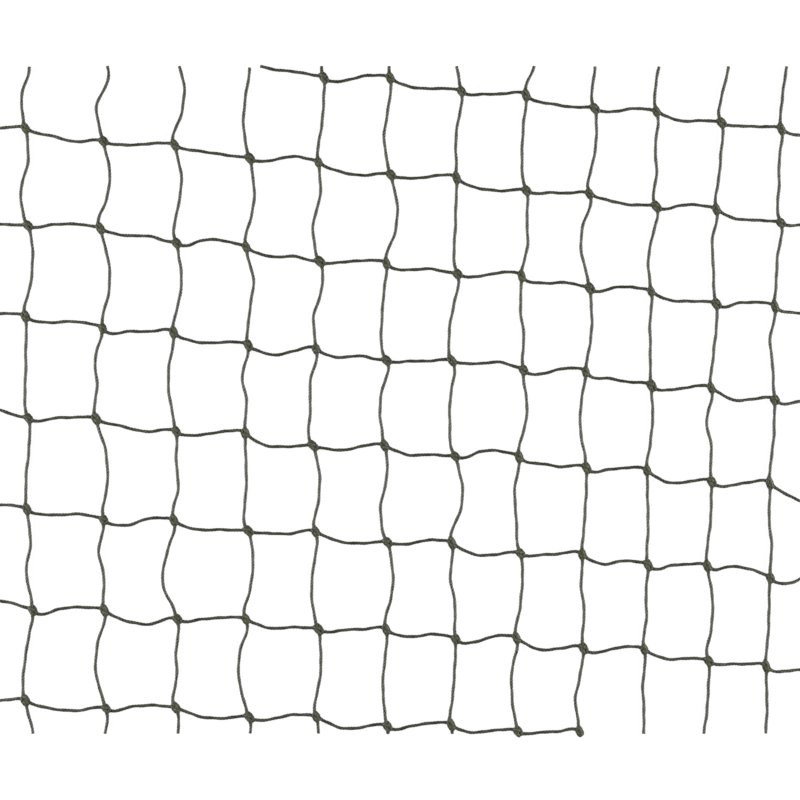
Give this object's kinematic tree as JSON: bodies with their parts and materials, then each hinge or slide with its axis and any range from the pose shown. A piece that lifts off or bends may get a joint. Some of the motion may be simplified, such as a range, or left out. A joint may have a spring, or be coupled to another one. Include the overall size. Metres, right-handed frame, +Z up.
{
  "type": "cat safety net",
  "caption": "Cut length of knotted cat safety net: dark olive twine tied into tall, slightly uneven meshes, lying flat, with loose twine ends where it was cut.",
  "frame": {"origin": "middle of the underside, on the surface that the net lies on", "axes": "+X across the net, +Y up the net, +Z up from the surface"},
  "size_m": [0.3543, 0.294, 0.0034],
  "materials": {
    "twine": "matte twisted twine, dark olive"
  },
  "bodies": {
    "root": {"net": "twine"}
  },
  "joints": []
}
